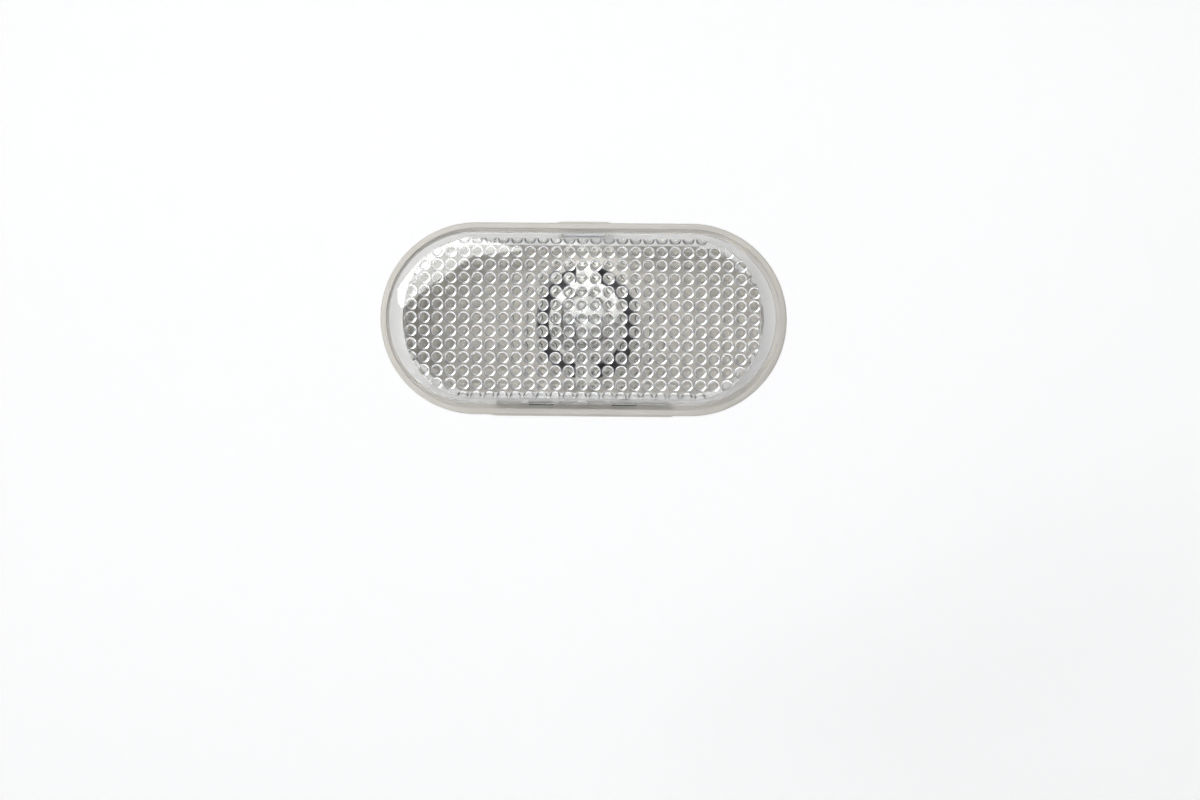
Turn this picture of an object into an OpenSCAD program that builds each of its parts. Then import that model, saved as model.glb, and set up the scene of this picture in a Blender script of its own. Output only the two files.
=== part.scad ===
// Side repeater lamp for a car's front wing: a clear pillow-optic lens on a pale moulded
// housing, with a steel spring clip, a panel gasket and a twist-in holder for a wedge-base bulb.
// Millimetres. +X runs along the lamp, +Z is up on the car and -Y faces out of the wing.
// The origin is in the plane where the gasket meets the panel, at the centre of the outline.

/* [Outline] */
// Length of the lamp over its flange
lamp_l = 77.2; // [72:0.2:90]
// Height of the lamp over its flange
lamp_h = 36.5; // [35:0.1:40]

/* [Lens] */
// Height of the lens face above its own flange, at the middle
lens_rise = 6.2; // [5:0.1:8]
// Thickness of the lens face at the middle
face_t = 2.6; // [2:0.1:3]
// Thickness of the lens side wall along the lamp
lens_wall = 1.3; // [1:0.1:2]
// Thickness of the lens wall at the two ends of the lamp
end_wall = 3.1; // [1.2:0.1:4.5]
// Thickness of the lens flange
lens_flange_t = 1.4; // [1:0.1:2]
// Width of the lens flange outside the wall
lens_lip = 0.8; // [0.6:0.1:1.2]
// Radius round the front edge of the lens
edge_r = 0.8; // [0.5:0.1:1.5]
// How far the middle of the face stands above its edge
crown = 1.2; // [0.6:0.1:1.3]
// Lean of the side wall, in degrees
wall_draft = 2; // [1:0.5:4]

/* [Pillow optics] */
// Distance between neighbouring bumps on the inner face
bump_pitch = 2.48; // [2.4:0.02:4]
// Diameter of a bump at its foot
bump_d = 2.3; // [1.6:0.02:2.36]
// Height of a bump
bump_h = 0.75; // [0.3:0.05:0.9]
// Length of the area that holds bumps
field_l = 68.6; // [50:0.2:69]
// Height of the area that holds bumps
field_h = 30.6; // [20:0.2:30.8]

/* [Housing] */
// Thickness of the housing flange
flange_t = 1.6; // [1.2:0.1:2.5]
// Width of the raised rim round the lens
rim_w = 1.15; // [0.9:0.05:1.6]
// How far the rim stands above the lens flange
rim_step = 0.15; // [0.05:0.05:0.4]
// Thickness of the tub wall
tub_wall = 1.5; // [1.2:0.1:2]
// Thickness of the tub floor
floor_t = 1.6; // [1.2:0.1:2.5]
// Lean of the tub wall, in degrees
tub_draft = 3; // [1:0.5:4]
// Width of flange that overlaps the panel outside the tub
panel_overlap = 3.15; // [2.8:0.05:3.6]
// Gap between the lens and the rim around it
lens_gap = 0.05; // [0.05:0.05:0.15]
// Length of the collar behind the floor
collar_len = 4.6; // [3.5:0.1:8]
// Wall of the collar
collar_wall = 2.4; // [1.8:0.1:3]

/* [Fixing to the panel] */
// Thickness of the foam gasket
gasket_t = 1.5; // [1:0.1:2.5]
// Width of the foam gasket
gasket_w = 2.7; // [1.8:0.1:2.7]
// Thickest panel that the hooks and the clip take
panel_t = 2.1; // [1:0.1:2.6]
// Width of each fixed hook
hook_w = 4.4; // [3:0.2:6]
// Distance between the middles of the two hooks
hook_span = 15.8; // [12:0.2:20]
// How far a hook reaches past the tub wall
hook_reach = 2.2; // [1.5:0.1:2.6]
// Width of the steel spring clip
clip_w = 7.8; // [5:0.2:9]
// Thickness of the steel spring clip
clip_t = 0.5; // [0.3:0.1:0.6]
// How far the clip bulges past the tub wall
clip_bulge = 2.4; // [1.5:0.1:3]

/* [Bulb holder] */
// Diameter of the bore in the housing for the holder
bore_d = 20; // [18:0.2:22]
// Width of the rubber seal between the holder's nose and the bore
seal_w = 2.6; // [2:0.1:3]
// Width of each bayonet lug
lug_w = 4.2; // [3:0.2:5]
// Thickness of each bayonet lug
lug_t = 1.4; // [1:0.1:2]
// How far a lug reaches past the bore
lug_reach = 0.9; // [0.8:0.1:1.5]
// Turn that frees the holder, in degrees
unlock_angle = 45; // [35:1:60]
// Diameter of the holder's finger flange
grip_d = 27; // [25:0.2:31]
// Thickness of the holder's finger flange
grip_t = 2; // [1.5:0.1:3]
// Length of the connector socket
socket_len = 10.5; // [8:0.5:14]
// Inside width of the connector socket
socket_w = 12.4; // [11:0.2:14]
// Inside height of the connector socket
socket_h = 9.4; // [8.8:0.2:11]

/* [Bulb] */
// Diameter of the bulb glass
bulb_d = 10.2; // [9:0.1:11]
// Length of the bulb over its glass
bulb_l = 26.8; // [24:0.2:28]
// Depth of the wedge base in the holder
wedge_l = 8; // [6:0.2:9]
// Width of the wedge base
wedge_w = 9.4; // [8.8:0.1:10]
// Thickness of the wedge base
wedge_t = 2.2; // [1.8:0.1:2.6]

/* [Hidden] */
$fn = 72;
cut = 1;             // how far a cutting shape runs past the face it opens

clear_plastic = [0.86, 0.88, 0.88, 0.45];
pale_plastic = [0.76, 0.75, 0.73];
white_plastic = [0.93, 0.93, 0.91];
tinned = [0.62, 0.56, 0.46];

// The flange outline is a stadium: two half rounds of end_r about centres straight apart.
end_r = lamp_h / 2;
straight = lamp_l - lamp_h;

// Levels outwards from the panel
seat_z = gasket_t + flange_t;             // where the lens flange rests on the housing
lens_flange_z = seat_z + lens_flange_t;
lens_top = lens_flange_z + lens_rise;
inner_face_z = lens_top - face_t;
rim_z = lens_flange_z + rim_step;

// Radii of the stadium sections, all about the same two centres
lens_r = end_r - rim_w - lens_gap;
foot_r = lens_r - lens_lip;
cavity_r = foot_r - lens_wall;
tub_r = end_r - panel_overlap;
mouth_r = tub_r - tub_wall;

// The lens is hollow over a shorter straight, so its wall is thicker at the ends
cavity_straight = straight - 2 * (end_wall - lens_wall);

// Bulb, holder and tub are stacked back from the lens
bulb_gap = 1.7;                           // from the bulb's tip to the bumps
bulb_tip_z = inner_face_z - bump_h - bulb_gap;
wedge_end_z = bulb_tip_z - bulb_l;
nose_z = wedge_end_z + wedge_l;
lug_play = 0.15;
floor_z = nose_z - lug_t - lug_play;      // the face of the floor that the lugs turn on
tub_z = floor_z - floor_t;
collar_z = tub_z - collar_len;

// Front edge of the lens: a fillet tangent to the leaning wall and to the crowned face
crown_span = foot_r - edge_r;
crown_r = (crown_span * crown_span + crown * crown) / (2 * crown);
crown_centre = [0, lens_top - crown_r];
wall_up = [-sin(wall_draft), cos(wall_draft)];
wall_in = [-cos(wall_draft), -sin(wall_draft)];
edge_start = [foot_r, lens_flange_z] + edge_r * wall_in;
edge_offset = edge_start - crown_centre;
edge_rise = -edge_offset * wall_up
    + sqrt(pow(edge_offset * wall_up, 2) - edge_offset * edge_offset
    + pow(crown_r - edge_r, 2));
edge_centre = edge_start + edge_rise * wall_up;
edge_end_angle = atan2(edge_centre[1] - crown_centre[1], edge_centre[0]);

function arc(centre, r, from, to, steps) = [
    for (i = [0 : steps]) let (a = from + (to - from) * i / steps)
        centre + r * [cos(a), sin(a)]
];

// Stands a shape up: it is drawn with the lamp's front upwards
module upright() {
    rotate([90, 0, 0]) children();
}

// A stadium-shaped solid from a half profile of [radius, height] points, first and last at radius 0
module oval_solid(profile, length = straight) {
    last = len(profile) - 1;
    whole = concat(profile, [for (i = [last - 1 : -1 : 1]) [-profile[i][0], profile[i][1]]]);
    for (turn = [0, 180])
        rotate([0, 0, turn]) translate([length / 2, 0, 0]) rotate([0, 0, -90])
            rotate_extrude(angle = 180) polygon(profile);
    translate([-length / 2, 0, 0]) rotate([90, 0, 90]) linear_extrude(length) polygon(whole);
}

// A box centred on x, given by its y and z spans
module bar(width, y_from, y_to, z_from, z_to, x = 0) {
    translate([x - width / 2, y_from, z_from]) cube([width, y_to - y_from, z_to - z_from]);
}

// A path through points with each corner eased over a run of length back on both sides,
// but left sharp where there is less room than least
function unit(v) = v / norm(v);
function eased(points, back, least, steps = 4) = concat(
    [points[0]],
    [for (i = [1 : len(points) - 2])
        let (
            p = points[i],
            before = points[i - 1] - p,
            after = points[i + 1] - p,
            room = min(back, 0.45 * norm(before), 0.45 * norm(after)),
            reach = room < least ? 0 : room
        )
            for (k = [0 : reach > 0 ? steps : 0])
                let (s = k / steps)
                    p + pow(1 - s, 2) * reach * unit(before) + s * s * reach * unit(after)],
    [points[len(points) - 1]]
);

// Points at a distance to the left of a path, mitred at every corner
function beside(points, distance) = [
    for (i = [0 : len(points) - 1])
        let (
            last = len(points) - 1,
            before = unit(points[max(i, 1)] - points[max(i, 1) - 1]),
            after = unit(points[min(i, last - 1) + 1] - points[min(i, last - 1)]),
            left_before = [-before[1], before[0]],
            left_after = [-after[1], after[0]]
        )
            points[i] + distance * (left_before + left_after) / (1 + left_before * left_after)
];

// A strip of sheet bent along a path of [y, z] points
module strip(points, thickness, width, back, x = 0) {
    path = eased(points, back, thickness);
    far_side = beside(path, -thickness / 2);
    last = len(path) - 1;
    translate([x - width / 2, 0, 0]) rotate([90, 0, 90]) linear_extrude(width)
        polygon(concat(
            beside(path, thickness / 2),
            [for (i = [last : -1 : 0]) far_side[i]]
        ));
}

// Lens
window_w = clip_w + 1.5;    // opening over the spring clip
window_from = tub_r + 0.05;
window_to = foot_r + 0.1;
window_h = 2.6;
window_wall = 0.6;
recess_l = 33.2;            // hollow in the foot of the wall, over the openings in the flange
recess_h = 1.2;
recess_skin = 0.4;

function in_field(x, y) =
    let (r = field_h / 2, past = max(abs(x) - (field_l / 2 - r), 0))
        past * past + y * y < r * r;

// One bump with its foot on the inner face at [x, y], cut off inside the side wall
module bump(x, y) {
    ball_r = (bump_d * bump_d / 4 + bump_h * bump_h) / (2 * bump_h);
    root = 0.3;
    limit_r = cavity_r + 0.3;
    end = sign(x) * cavity_straight / 2;
    from_end = norm([x - end, y]);
    intersection() {
        translate([x, y, inner_face_z + ball_r - bump_h]) sphere(r = ball_r);
        bar(bump_d, max(y - bump_d / 2, -limit_r), min(y + bump_d / 2, limit_r),
            inner_face_z - bump_h - root, inner_face_z + root, x);
        if (abs(x) > cavity_straight / 2 && from_end + bump_d / 2 > limit_r)
            translate([end, 0, inner_face_z - 1]) cylinder(r = limit_r, h = 2);
    }
}

module bump_field() {
    columns = floor(field_l / 2 / bump_pitch);
    rows = floor(field_h / 2 / bump_pitch);
    for (i = [-columns : columns], j = [-rows : rows])
        if (in_field(i * bump_pitch, j * bump_pitch))
            bump(i * bump_pitch, j * bump_pitch);
}

module lens_shell() {
    corner = 0.3;
    bevel = 0.3;
    difference() {
        oval_solid(concat(
            arc(crown_centre, crown_r, 90, edge_end_angle, 8),
            arc(edge_centre, edge_r, edge_end_angle, wall_draft, 5),
            [[foot_r, lens_flange_z], [lens_r - bevel, lens_flange_z],
                [lens_r, lens_flange_z - bevel], [lens_r, seat_z], [0, seat_z]]
        ));
        oval_solid(concat(
            [[0, inner_face_z]],
            arc([cavity_r - corner, inner_face_z - corner], corner, 90, 0, 2),
            [[cavity_r, seat_z - cut], [0, seat_z - cut]]
        ), cavity_straight);
    }
}

module lens() color(clear_plastic) upright() {
    difference() {
        union() {
            lens_shell();
            bar(window_w + 2 * window_wall, window_from - window_wall, window_from + 0.3,
                seat_z, seat_z + window_h + window_wall);
        }
        bar(window_w, window_from, window_to, seat_z - cut, seat_z + window_h);
        bar(recess_l, -window_to, -cavity_r - recess_skin, seat_z - cut, seat_z + recess_h);
    }
    bump_field();
}

// Housing
slot_from = tub_r + 0.1;    // openings through the flange, between the tub and the rim
slot_to = foot_r + 0.15;
core_w = hook_w + 0.4;      // the mould's core comes through the flange in front of a hook
clip_slot = clip_t + 0.2;   // the clip comes through a narrow slot and folds over its outer edge
keeper_z = -9;              // loop that holds the clip's tail
keeper_l = 1.6;
keeper_gap = 0.2;
function tub_wall_y(z) = tub_r + (z - gasket_t) * tan(tub_draft);
clip_tail_y = tub_wall_y(keeper_z) + clip_t / 2 + 0.05;

module tub_outside() {
    corner = 2;
    foot = tub_wall_y(tub_z);
    round_rim = 0.45;
    bevel = 0.1;
    oval_solid(concat(
        [[0, tub_z]],
        arc([foot - corner, tub_z + corner], corner, 270, 360, 4),
        [[tub_r, gasket_t], [end_r - 0.3, gasket_t], [end_r, gasket_t + 0.3]],
        arc([end_r - round_rim, rim_z - round_rim], round_rim, 0, 90, 4),
        [[end_r - rim_w + bevel, rim_z], [end_r - rim_w, rim_z - bevel],
            [end_r - rim_w, seat_z], [0, seat_z]]
    ));
}

module tub_inside() {
    corner = 1.2;
    foot = tub_wall_y(floor_z) - tub_wall;
    oval_solid(concat(
        [[0, floor_z]],
        arc([foot - corner, floor_z + corner], corner, 270, 360, 3),
        [[mouth_r, gasket_t], [mouth_r, seat_z + cut], [0, seat_z + cut]]
    ));
}

module hook(x) {
    catch_z = -panel_t;
    tip_y = -tub_r - hook_reach;
    root_y = 1 - tub_r;
    translate([x - hook_w / 2, 0, 0]) rotate([90, 0, 90]) linear_extrude(hook_w)
        polygon([[root_y, catch_z], [tip_y + 0.3, catch_z], [tip_y, catch_z - 0.3],
            [tip_y, catch_z - 1], [root_y, catch_z - 6]]);
}

// Bulge of the rim beside an opening, side 1 at the top and -1 along the lower edge
module rim_bulge(half, side) {
    run_out = 0.9;
    out = 0.25;
    translate([0, 0, gasket_t + 0.3]) linear_extrude(rim_z - gasket_t - 0.75)
        polygon([[-half - run_out, side * (end_r - 0.5)], [half + run_out, side * (end_r - 0.5)],
            [half + run_out, side * end_r], [half, side * (end_r + out)],
            [-half, side * (end_r + out)], [-half - run_out, side * end_r]]);
}

module clip_keeper() {
    post = 1.1;
    top_y = clip_tail_y + clip_t / 2 + keeper_gap;
    root_y = tub_wall_y(keeper_z) - 1;
    bar(clip_w + 2 * keeper_gap + 2 * post, top_y, top_y + 1, keeper_z - keeper_l, keeper_z);
    for (side = [-1, 1])
        bar(post, root_y, top_y + 1, keeper_z - keeper_l, keeper_z,
            side * (clip_w / 2 + keeper_gap + post / 2));
}

// Ribs across the back, from the collar out to the ends of the tub
module back_ribs() {
    rib_t = 1.2;
    rib_h = 2.4;
    reach = straight / 2 + tub_r - 6;
    for (side = [-1, 1], y = [-5, 5])
        translate([side * reach / 2, y, tub_z - rib_h / 2 + cut / 2])
            cube([reach, rib_t, rib_h + cut], center = true);
}

module lug_notch() {
    play = 0.3;
    half = lug_w / 2 + play;
    for (turn = [0, 180])
        rotate([0, 0, turn + unlock_angle])
            bar(2 * half, 0, bore_d / 2 + lug_reach + play, collar_z - cut, floor_z + cut);
}

// Stops on the floor at both ends of each lug's travel
module lug_stops() {
    stop_w = 1.2;
    play = 0.25;
    stop_r = bore_d / 2 + 0.5;
    swing = (lug_w / 2 + play + stop_w / 2) / stop_r * 180 / PI;
    for (turn = [0, 180], a = [-swing, unlock_angle + swing])
        rotate([0, 0, turn + a])
            bar(stop_w, stop_r, stop_r + 1.4, floor_z - 0.4, floor_z + lug_t);
}

// Pockets in the flange between the slots, parted by thin ribs
module flange_pockets() {
    depth = 1.1;
    rib = 1.1;
    inner_from = 0.8;
    inner_to = hook_span / 2 - core_w / 2 - rib;
    outer_from = hook_span / 2 + core_w / 2 + rib;
    outer_to = recess_l / 2 - 0.3;
    for (side = [-1, 1], span = [[inner_from, inner_to], [outer_from, outer_to]])
        bar(span[1] - span[0], -slot_to, -slot_from, seat_z - depth, seat_z + cut,
            side * (span[0] + span[1]) / 2);
}

// Small upright tabs at both ends of the clip's window
module window_tabs() {
    tab_w = 0.4;
    for (side = [-1, 1])
        bar(tab_w, slot_from, window_to - 0.1, seat_z - 0.4, lens_flange_z,
            side * (clip_w / 2 + 0.2 + tab_w / 2));
}

module housing() color(pale_plastic) upright() {
    difference() {
        union() {
            tub_outside();
            translate([0, 0, collar_z])
                cylinder(d = bore_d + 2 * collar_wall, h = tub_z - collar_z + 0.5);
            back_ribs();
            for (side = [-1, 1]) hook(side * hook_span / 2);
            clip_keeper();
            rim_bulge(window_w / 2 - 0.2, 1);
            rim_bulge(recess_l / 2, -1);
        }
        tub_inside();
        translate([0, 0, collar_z - cut]) cylinder(d = bore_d, h = floor_z - collar_z + 2 * cut);
        lug_notch();
        bar(clip_w + 0.4, slot_from, slot_from + clip_slot, gasket_t - cut, seat_z + cut);
        for (side = [-1, 1])
            bar(core_w, -slot_to, -slot_from, gasket_t - cut, seat_z + cut,
                side * hook_span / 2);
        flange_pockets();
    }
    lug_stops();
    window_tabs();
}

// Foam gasket, notched where the clip passes
module panel_gasket() color("dimgray") upright() {
    outer = end_r - 0.35;
    inner = outer - gasket_w;
    difference() {
        oval_solid([[0, 0], [outer, 0], [outer, gasket_t], [0, gasket_t]]);
        oval_solid([[0, -cut], [inner, -cut], [inner, gasket_t + cut], [0, gasket_t + cut]]);
        bar(clip_w + 1.4, inner - cut, slot_to + 0.5, -cut, gasket_t + cut);
    }
}

// Spring clip: folded over the flange in the window, bulged behind the panel, tail in the keeper
clip_y = slot_from + clip_slot / 2;

module spring_clip() color("silver") upright() {
    fold_z = seat_z + clip_t / 2 + 0.02;
    strip([
        [slot_to - 0.1, fold_z],
        [clip_y, fold_z],
        [clip_y, gasket_t - 0.3],
        [tub_r + clip_t, -panel_t + 0.9],
        [tub_r + clip_bulge, -panel_t - 1.3],
        [tub_r + clip_bulge - 0.2, -panel_t - 2.2],
        [clip_tail_y, keeper_z + 0.6],
        [clip_tail_y - tan(tub_draft) * (keeper_l + 1.2), keeper_z - keeper_l - 0.6]
    ], clip_t, clip_w, 0.8);
}

// Bulb holder
holder_gap = 0.3;                         // between the finger flange and the collar
grip_z = collar_z - holder_gap;
body_d = 20;
body_len = 3.6;
body_z = grip_z - grip_t - body_len;      // back of the round body, where the socket starts
socket_wall = 1.5;
socket_floor_z = body_z + 1.2;
socket_z = body_z - socket_len;
socket_r = 1.6;                           // corners of the socket
nose_d = bore_d - 2 * seal_w;
nose_wall = 0.9;
wedge_play = 0.15;
wire_d = 0.5;
wire_x = 2.7;                             // from the bulb's axis to each of its wires
terminal_w = 3.2;
terminal_t = 0.5;
terminal_x = 2.7;
terminal_y = -3.4;                        // level of the blades below the bulb's axis
terminal_reach = norm([terminal_x + terminal_w / 2, terminal_y - terminal_t / 2]);
pocket_r = max(nose_d / 2 - nose_wall, terminal_reach + 0.3);
pocket_top = 0;
pocket_l = 6.4;

module rounded_block(width, height, r, z_from, z_to) {
    translate([0, 0, z_from]) linear_extrude(z_to - z_from) union() {
        square([width - 2 * r, height], center = true);
        square([width, height - 2 * r], center = true);
        for (x = [-1, 1], y = [-1, 1])
            translate([x * (width / 2 - r), y * (height / 2 - r)]) circle(r = r);
    }
}

// Half-round pocket in the nose's lower half, where the two contact springs work
module contact_pocket() {
    intersection() {
        translate([0, 0, nose_z - pocket_l]) cylinder(r = pocket_r, h = pocket_l + cut);
        bar(2 * pocket_r, -pocket_r - cut, pocket_top, nose_z - pocket_l, nose_z + cut);
    }
}

// Grooves at the foot of the slot for the wires that are folded round the bulb's base
module wire_grooves() {
    play = 0.2;
    for (side = [-1, 1])
        bar(wire_d + 2 * play, -wedge_t / 2 - wire_d - play, wire_d / 2 + play,
            wedge_end_z - wire_d - play, nose_z - pocket_l + cut, side * wire_x);
}

module finger_wings() {
    wing_t = 3;
    wing_h = 6.5;
    for (side = [-1, 1])
        bar(wing_t, -wing_h / 2, wing_h / 2, body_z + 0.6, grip_z - grip_t + 0.5,
            side * (grip_d / 2 - wing_t / 2 - 0.6));
    bar(grip_d - 3.6, -1, 1, body_z + 0.6, grip_z - grip_t + 0.5);
}

module bulb_holder() color(white_plastic) upright() {
    difference() {
        union() {
            translate([0, 0, grip_z - grip_t])
                cylinder(d = nose_d, h = nose_z - grip_z + grip_t);
            translate([0, 0, grip_z - grip_t]) cylinder(d = grip_d, h = grip_t);
            translate([0, 0, body_z]) cylinder(d = body_d, h = body_len + 0.5);
            finger_wings();
            rounded_block(socket_w + 2 * socket_wall, socket_h + 2 * socket_wall,
                socket_r + socket_wall, socket_z, body_z + 0.5);
            for (turn = [0, 180])
                rotate([0, 0, turn])
                    bar(lug_w, 0, bore_d / 2 + lug_reach, nose_z - lug_t, nose_z);
            // Catch on top of the socket for the plug's latch
            bar(4, socket_h / 2 + socket_wall - 0.2, socket_h / 2 + socket_wall + 1.2,
                socket_z + 2.4, socket_z + 4.4);
        }
        bar(wedge_w + 2 * wedge_play, -wedge_t / 2 - wedge_play, wedge_t / 2 + wedge_play,
            wedge_end_z - 0.2, nose_z + cut);
        wire_grooves();
        contact_pocket();
        rounded_block(socket_w, socket_h, socket_r, socket_z - cut, socket_floor_z);
        for (side = [-1, 1])
            bar(terminal_w, terminal_y - terminal_t / 2, terminal_y + terminal_t / 2,
                socket_floor_z - cut, nose_z - pocket_l + cut, side * terminal_x);
    }
}

// Rubber ring round the nose, against the finger flange
module holder_seal() color([0.09, 0.09, 0.09]) upright() {
    seal_gap = 0.08;
    seal_l = 2.8;
    outer = bore_d / 2 - seal_gap;
    inner = nose_d / 2 + 0.02;
    lip = 0.5;
    translate([0, 0, grip_z]) rotate_extrude()
        polygon([[inner, 0], [outer - lip, 0], [outer, lip], [outer, seal_l - lip],
            [outer - lip, seal_l], [inner, seal_l]]);
}

// Terminal: a spring leaf under the bulb's base in front, a flat blade in the socket behind
module terminal(side) {
    leaf_y = -wedge_t / 2 - wire_d - terminal_t / 2 - 0.02;
    blade_w = 2.8;
    blade_t = 0.8;
    blade_tip_z = socket_z + 4.2;
    strip([
        [leaf_y - 0.9, nose_z - 0.5],
        [leaf_y, nose_z - 2.4],
        [terminal_y, nose_z - pocket_l + 0.5],
        [terminal_y, socket_floor_z]
    ], terminal_t, terminal_w, 0.8, side * terminal_x);
    bar(blade_w, terminal_y - blade_t / 2, terminal_y + blade_t / 2,
        blade_tip_z, socket_floor_z, side * terminal_x);
}

module terminal_left() color(tinned) upright() terminal(-1);

module terminal_right() color(tinned) upright() terminal(1);

// Bulb: blown envelope on a flat pressed base, with two wires through the base
glass_t = 0.6;
bulb_r = bulb_d / 2;
shoulder_z = nose_z + 0.3;                // where the envelope closes onto the base
dome_h = 4.4;
light_centre = 10.2;                      // filament above the shoulder
filament_z = shoulder_z + light_centre;
fold_l = 6;

module envelope(shrink) {
    r = bulb_r - shrink;
    low = shoulder_z + shrink;
    dome_from = bulb_tip_z - dome_h;
    rotate_extrude()
        polygon(concat(
            [[0, low], [r * 0.55, low], [r * 0.9, low + 1.3], [r, low + 3.2]],
            [for (i = [0 : 8]) let (a = i * 90 / 8)
                [r * cos(a), dome_from + (dome_h - shrink) * sin(a)]]
        ));
}

module lead_wire(side) {
    fold_y = -wedge_t / 2 - wire_d / 2 - 0.01;
    low = wedge_end_z - wire_d / 2 - 0.01;
    translate([side * wire_x, 0, low]) cylinder(d = wire_d, h = filament_z - low);
    translate([side * wire_x, 0, low]) rotate([90, 0, 0]) cylinder(d = wire_d, h = -fold_y);
    translate([side * wire_x, fold_y, low]) cylinder(d = wire_d, h = fold_l);
    for (p = [[0, low], [fold_y, low], [0, filament_z]])
        translate([side * wire_x, p[0], p[1]]) sphere(d = wire_d);
}

module bulb_glass() color([0.9, 0.93, 0.95, 0.4]) upright() {
    difference() {
        union() {
            difference() {
                envelope(0);
                envelope(glass_t);
            }
            bar(wedge_w, -wedge_t / 2, wedge_t / 2, wedge_end_z, shoulder_z + glass_t);
        }
        for (side = [-1, 1])
            translate([side * wire_x, 0, wedge_end_z - cut])
                cylinder(d = wire_d + 0.02, h = shoulder_z + glass_t + 2 * cut - wedge_end_z);
    }
}

module filament() color("darkgray") upright()
    translate([-wire_x + wire_d / 2, 0, filament_z]) rotate([0, 90, 0])
        cylinder(d = 0.6, h = 2 * wire_x - wire_d);

module lead_wire_left() color("silver") upright() lead_wire(-1);

module lead_wire_right() color("silver") upright() lead_wire(1);

lens();
housing();
panel_gasket();
spring_clip();
bulb_holder();
holder_seal();
terminal_left();
terminal_right();
bulb_glass();
filament();
lead_wire_left();
lead_wire_right();
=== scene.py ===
# %% [markdown]
# # A clear side repeater lamp
# The lamp is a small oval car lamp: a clear lens with a field of round bumps on its inner face,
# on a pale plastic housing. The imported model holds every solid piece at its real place, and this
# script gives the pieces their looks. All lengths here are in metres.
#
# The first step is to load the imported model. Its nodes stay where they are, and each new mesh is
# made straight into place, so nothing has to be moved afterwards.

# %% Load the frame
import math

import bmesh
import bpy
from mathutils import Matrix, Vector


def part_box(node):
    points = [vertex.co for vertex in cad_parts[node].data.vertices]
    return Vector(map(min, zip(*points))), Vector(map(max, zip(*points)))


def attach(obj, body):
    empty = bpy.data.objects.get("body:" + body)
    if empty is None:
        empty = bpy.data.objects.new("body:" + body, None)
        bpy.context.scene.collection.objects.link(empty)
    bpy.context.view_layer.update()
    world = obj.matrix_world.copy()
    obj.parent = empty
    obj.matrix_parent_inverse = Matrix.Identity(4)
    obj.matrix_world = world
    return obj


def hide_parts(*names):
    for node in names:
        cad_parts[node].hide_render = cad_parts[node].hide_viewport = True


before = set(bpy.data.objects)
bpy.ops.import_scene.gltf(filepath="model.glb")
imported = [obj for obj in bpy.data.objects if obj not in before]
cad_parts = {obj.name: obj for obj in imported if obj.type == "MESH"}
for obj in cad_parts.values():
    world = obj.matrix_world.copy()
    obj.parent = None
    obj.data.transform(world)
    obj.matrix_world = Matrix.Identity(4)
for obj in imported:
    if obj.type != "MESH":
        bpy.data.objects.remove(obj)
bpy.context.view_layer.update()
MM = 0.001
print("nodes:", ", ".join(sorted(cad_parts)))


def span(node, axis):
    """Lowest and highest value of a node's box along an axis."""
    low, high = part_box(node)
    return low[axis], high[axis]


# %% [markdown]
# ## Camera
# The photograph was taken nearly straight on, from a little to the right of the lamp's own axis.
# A camera that stands in front of the frame's middle sees the lamp above and left of that middle,
# as the photograph does. The scale comes from the outline's width in pixels, and the distance from
# how far the bumps seem to slide against the outline behind them.

# %% Place the camera
IMAGE_WIDTH, IMAGE_HEIGHT = 1200, 800
OUTLINE_MIDDLE = (583.2, 320.0)      # pixels, from the upper left corner of the image
OUTLINE_WIDTH = 403.1                # pixels, as wide as it would be in the plane of the panel
CAMERA_DISTANCE = 0.48
CAMERA_TURN = math.radians(2.0)      # to the right of the lamp's axis
CAMERA_ROLL = math.radians(0.55)
SENSOR = 36.0                        # millimetres, Blender's own unit for a sensor

outline_low, outline_high = span("housing", 0)
pixel = (outline_high - outline_low) / OUTLINE_WIDTH     # metres on the lamp for one pixel
aside = (IMAGE_WIDTH / 2 - OUTLINE_MIDDLE[0]) * pixel
below = (IMAGE_HEIGHT / 2 - OUTLINE_MIDDLE[1]) * pixel

camera_data = bpy.data.cameras.new("camera")
camera_data.sensor_width = SENSOR
camera_data.lens = SENSOR * CAMERA_DISTANCE / (IMAGE_WIDTH * pixel)
camera_data.clip_start = 0.01
camera = bpy.data.objects.new("camera", camera_data)
bpy.context.scene.collection.objects.link(camera)
turned = Matrix.Rotation(CAMERA_TURN, 4, "Z")
upright = Matrix.Rotation(math.radians(90), 4, "X")
roll = Matrix.Rotation(CAMERA_ROLL, 4, "Z")
place = Matrix.Translation((aside, -CAMERA_DISTANCE, -below))
camera.matrix_world = turned @ place @ upright @ roll
bpy.context.scene.camera = camera
print("focal length", round(camera_data.lens, 1), "mm at", CAMERA_DISTANCE, "m")

# %% [markdown]
# ## Studio
# The lamp hangs in front of a white sweep, a floor that curves up into a backdrop, because a clear
# lens shows whatever stands round it. The sweep is plain white paper. To the camera, and to what
# the camera sees by gloss or through glass, it adds a little light of its own, so that it renders
# white without more light on the lamp, and shadows still darken it.

# %% Helpers for node trees
def feed(tree, socket, value):
    """Links a socket to the one that feeds it, or sets its plain value."""
    if isinstance(value, bpy.types.NodeSocket):
        tree.links.new(value, socket)
    else:
        socket.default_value = value


def math_node(tree, operation, *values):
    """A Math node; each value is a number or the socket that feeds it."""
    node = tree.nodes.new("ShaderNodeMath")
    node.operation = operation
    for socket, value in zip(node.inputs, values):
        feed(tree, socket, value)
    return node.outputs[0]


def vector_of(tree, x=0.0, y=0.0, z=0.0):
    """A Combine XYZ node's output."""
    node = tree.nodes.new("ShaderNodeCombineXYZ")
    for socket, value in zip(node.inputs, (x, y, z)):
        feed(tree, socket, value)
    return node.outputs[0]


def parts_of(tree, vector):
    """The X, Y and Z outputs of a Separate XYZ node."""
    node = tree.nodes.new("ShaderNodeSeparateXYZ")
    tree.links.new(vector, node.inputs[0])
    return node.outputs


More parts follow.
